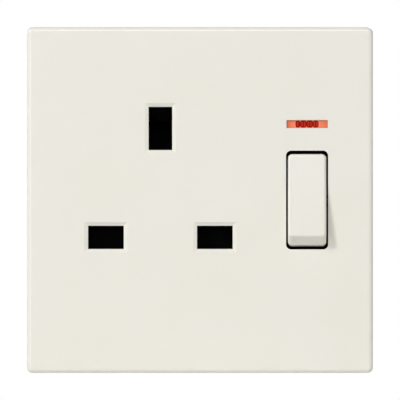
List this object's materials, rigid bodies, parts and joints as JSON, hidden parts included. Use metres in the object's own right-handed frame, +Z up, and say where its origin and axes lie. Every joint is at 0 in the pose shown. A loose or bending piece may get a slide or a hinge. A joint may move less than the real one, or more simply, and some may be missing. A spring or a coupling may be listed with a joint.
{
  "type": "switched socket",
  "caption": "Square switched mains socket with a rocker switch, indicator lens, shuttered pin apertures and screw terminals on a steel support frame.",
  "frame": {"origin": "midway between the two fixing slots, on the wall face of the support frame", "axes": "+X to the right seen from the front, +Y into the wall, +Z up"},
  "size_m": [0.0706, 0.0317, 0.0706],
  "materials": {
    "ivory_plastic": "smooth moulded gloss",
    "lens_plastic": "translucent orange gloss",
    "black_plastic": "fine moulded matt",
    "housing_plastic": "fine moulded matt",
    "zinc_steel": "bright zinc plate",
    "spring_steel": "drawn wire",
    "brass": "stamped brass",
    "silver": "silver contact button",
    "nylon": "natural nylon",
    "lamp_glass": "clear lamp glass",
    "resistor_body": "coated ceramic",
    "tinned_wire": "tinned copper"
  },
  "bodies": {
    "housing": {"front_plate": "ivory_plastic", "neon_lens": "lens_plastic", "inner_moulding": "black_plastic", "rear_housing": "housing_plastic", "support_frame": "zinc_steel", "terminal_screws": "brass", "housing_screws": "zinc_steel", "shutter_spring": "spring_steel", "live_contact": "brass", "neutral_contact": "brass", "earth_contact": "brass", "switch_cradle": "brass", "fixed_contact_tip": "silver", "live_terminal": "brass", "neutral_terminal": "brass", "earth_terminal": "brass", "earth_rivet": "brass", "neon_lamp": "lamp_glass", "neon_resistor": "resistor_body", "neon_live_lead": "tinned_wire", "neon_neutral_lead": "tinned_wire"},
    "rocker": {"switch_rocker": "ivory_plastic", "rocker_carrier": "black_plastic", "rocker_spring": "spring_steel"},
    "plunger": {"rocker_plunger": "nylon"},
    "contact_bar": {"contact_bar": "brass", "moving_contact_tip": "silver"},
    "shutter": {"shutter": "black_plastic"}
  },
  "joints": [
    {"name": "rocker_tilt", "type": "hinge", "parent": "housing", "child": "rocker", "pos_m": [0.02185, -0.0075, 0], "axis": [1, 0, 0], "range_deg": [0, 21]},
    {"name": "plunger_slide", "type": "slide", "parent": "rocker", "child": "plunger", "axis": [0, -0.9833, 0.1822], "range_m": [0, 0.0008], "stiffness_N_per_m": 500, "springref_m": -0.002, "deforming": ["rocker_spring"]},
    {"name": "contact_bar_tilt", "type": "hinge", "parent": "housing", "child": "contact_bar", "pos_m": [0.02185, 0.0043, 0], "axis": [1, 0, 0], "range_deg": [-16, 0]},
    {"name": "shutter_slide", "type": "slide", "parent": "housing", "child": "shutter", "axis": [0, 0, -1], "range_m": [0, 0.0054], "stiffness_N_per_m": 100, "springref_m": -0.004, "deforming": ["shutter_spring"]}
  ],
  "couplings": [
    {"joint": "contact_bar_tilt", "follows": "rocker_tilt", "ratio": -0.7619}
  ]
}
